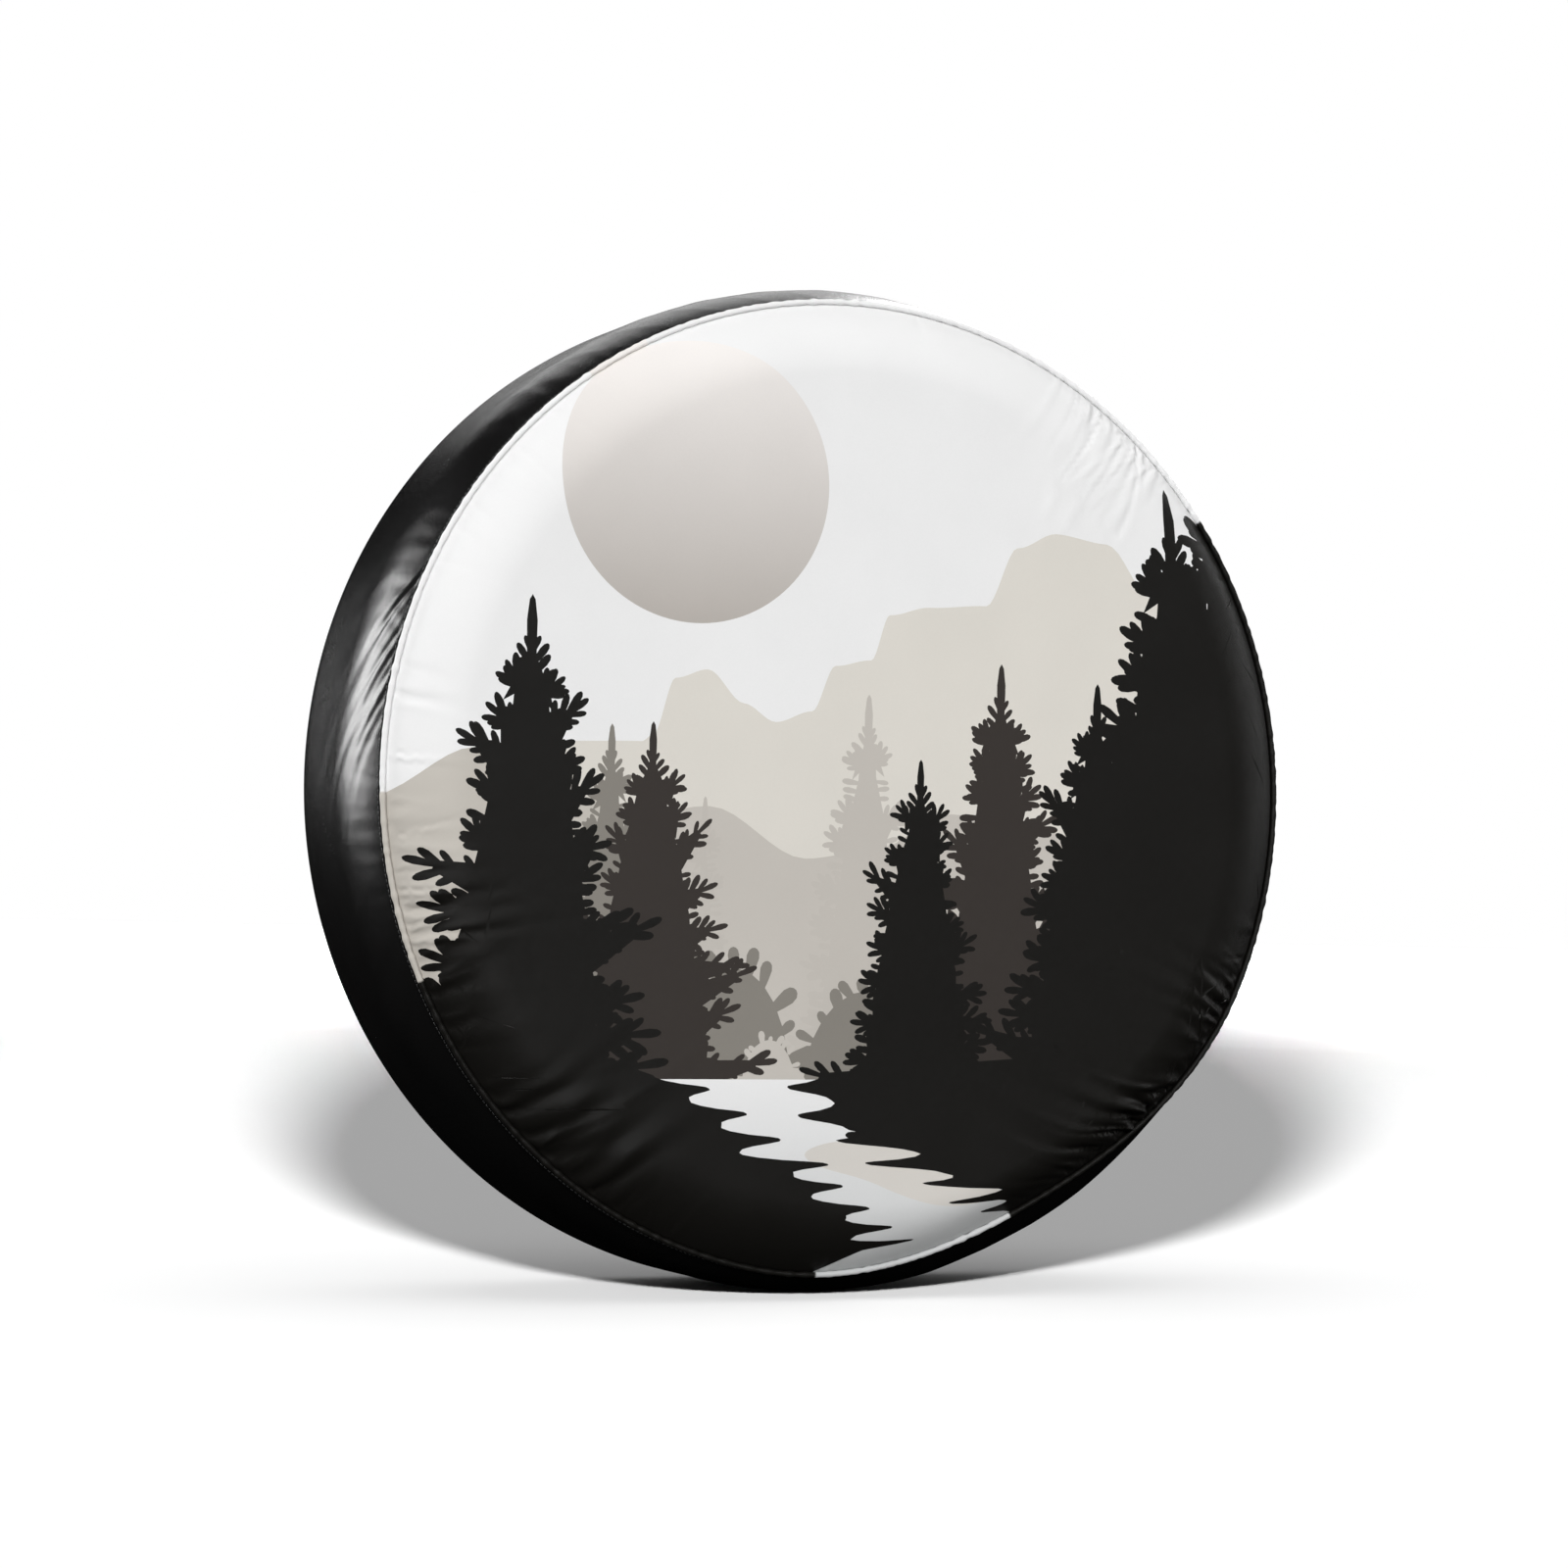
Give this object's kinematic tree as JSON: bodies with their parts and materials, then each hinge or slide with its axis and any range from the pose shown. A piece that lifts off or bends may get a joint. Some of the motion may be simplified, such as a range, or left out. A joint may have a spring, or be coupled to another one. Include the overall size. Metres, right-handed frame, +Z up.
{
  "type": "spare tire cover",
  "caption": "Round fitted fabric cover for a spare wheel, with a printed front disc, piped seam, black tread band and an elastic hem drawn up by a sprung cord lock at the back.",
  "frame": {"origin": "on the wheel's axis, midway between the front face and the back of the tyre: the centre of the wheel that the cover holds", "axes": "+Z up, the wheel's axis along Y with the printed face towards -Y and the open back towards +Y, +X to the right as seen from the front"},
  "size_m": [0.711, 0.2245, 0.711],
  "materials": {
    "printed_coated_fabric": "smooth coated polyester with a printed grey and black landscape, soft sheen",
    "black_coated_fabric": "glossy black coated polyester with fine creases",
    "binding_tape": "narrow woven tape",
    "filler_cord": "extruded foam cord, hidden in the piping",
    "elastic": "braided elastic cord",
    "eyelet_metal": "nickel-plated, lightly worn",
    "lock_plastic": "moulded acetal with a fine texture",
    "spring_steel": "drawn wire",
    "label_satin": "blank woven satin"
  },
  "bodies": {
    "cover": {"front_panel": "printed_coated_fabric", "front_welt_cord": "filler_cord", "front_welt_cover": "printed_coated_fabric", "front_seam_binding": "binding_tape", "tread_band": "black_coated_fabric", "tread_band_join_tape": "binding_tape", "rear_skirt": "black_coated_fabric", "rear_seam_tape": "binding_tape", "hem_casing": "black_coated_fabric", "elastic_cord": "elastic", "cord_eyelets": "eyelet_metal", "cord_eyelet_washers": "eyelet_metal", "cord_end_bell": "lock_plastic", "cord_end_knot": "elastic", "care_label": "label_satin"},
    "cord_lock": {"cord_lock_body": "lock_plastic", "cord_lock_spring": "spring_steel"},
    "lock_button": {"cord_lock_plunger": "lock_plastic"}
  },
  "joints": [
    {"name": "cord_lock_slide", "type": "slide", "parent": "cover", "child": "cord_lock", "axis": [0, 0, -1], "range_m": [-0.006, 0.021]},
    {"name": "lock_button_press", "type": "slide", "parent": "cord_lock", "child": "lock_button", "axis": [-1, 0, 0], "range_m": [0, 0.004], "stiffness_N_per_m": 800, "springref_m": -0.003, "deforming": ["cord_lock_spring"]}
  ]
}
